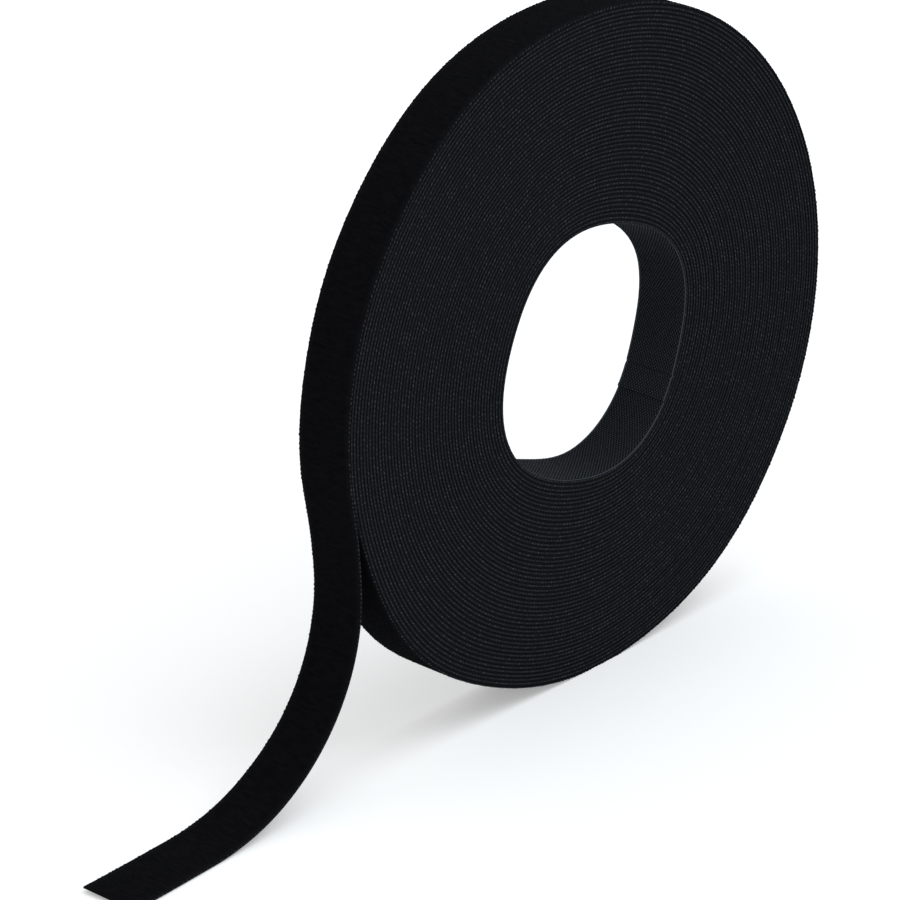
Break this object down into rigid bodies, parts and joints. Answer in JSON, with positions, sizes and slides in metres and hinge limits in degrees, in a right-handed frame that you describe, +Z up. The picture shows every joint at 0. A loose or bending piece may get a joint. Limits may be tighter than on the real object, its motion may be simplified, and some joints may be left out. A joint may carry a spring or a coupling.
{
  "type": "hook and loop tape roll",
  "caption": "Coreless roll of black back-to-back hook and loop tape standing on its rim, with a flexible free end that drops from the roll and lies flat.",
  "frame": {"origin": "middle of the flat on the rim that the roll stands on, straight below the roll's axis", "axes": "+Z up, +Y along the roll's axis towards its back face, the free end runs out along -X"},
  "size_m": [0.3211, 0.02, 0.2233],
  "materials": {
    "wound_tape": "edges of tightly wound black tape, matt, with fine light stitches",
    "loop_fabric": "matt velvety knitted loops, black",
    "hook_film": "moulded hook film, satin, black with a blue-grey cast"
  },
  "bodies": {
    "roll": {"first_turn_hook_film": "hook_film", "first_turn_loop_fabric": "loop_fabric", "packed_turns": "wound_tape", "outer_turns_hook_film": "hook_film", "outer_turns_loop_fabric": "loop_fabric"},
    "tail_lift": {"tail_lift_hook_film": "hook_film", "tail_lift_loop_fabric": "loop_fabric"},
    "tail_drop_1": {"tail_drop_1_hook_film": "hook_film", "tail_drop_1_loop_fabric": "loop_fabric"},
    "tail_drop_2": {"tail_drop_2_hook_film": "hook_film", "tail_drop_2_loop_fabric": "loop_fabric"},
    "tail_drop_3": {"tail_drop_3_hook_film": "hook_film", "tail_drop_3_loop_fabric": "loop_fabric"},
    "tail_drop_4": {"tail_drop_4_hook_film": "hook_film", "tail_drop_4_loop_fabric": "loop_fabric"},
    "tail_end": {"tail_end_hook_film": "hook_film", "tail_end_loop_fabric": "loop_fabric"}
  },
  "joints": [
    {"name": "peel_bend", "type": "hinge", "parent": "roll", "child": "tail_lift", "pos_m": [-0.11076, 0, 0.09474], "axis": [0, 1, 0], "range_deg": [0, 75], "stiffness_Nm_per_rad": 0.008},
    {"name": "lift_bend", "type": "hinge", "parent": "tail_lift", "child": "tail_drop_1", "pos_m": [-0.10871, 0, 0.0671], "axis": [0, 1, 0], "range_deg": [-20, 20], "stiffness_Nm_per_rad": 0.008},
    {"name": "upper_drop_bend", "type": "hinge", "parent": "tail_drop_1", "child": "tail_drop_2", "pos_m": [-0.11378, 0, 0.04159], "axis": [0, 1, 0], "range_deg": [-20, 20], "stiffness_Nm_per_rad": 0.008},
    {"name": "middle_drop_bend", "type": "hinge", "parent": "tail_drop_2", "child": "tail_drop_3", "pos_m": [-0.12823, 0, 0.01996], "axis": [0, 1, 0], "range_deg": [-20, 20], "stiffness_Nm_per_rad": 0.008},
    {"name": "lower_drop_bend", "type": "hinge", "parent": "tail_drop_3", "child": "tail_drop_4", "pos_m": [-0.14986, 0, 0.00551], "axis": [0, 1, 0], "range_deg": [-20, 20], "stiffness_Nm_per_rad": 0.008},
    {"name": "landing_bend", "type": "hinge", "parent": "tail_drop_4", "child": "tail_end", "pos_m": [-0.17537, 0, 0.00044], "axis": [0, 1, 0], "range_deg": [-20, 20], "stiffness_Nm_per_rad": 0.008}
  ]
}
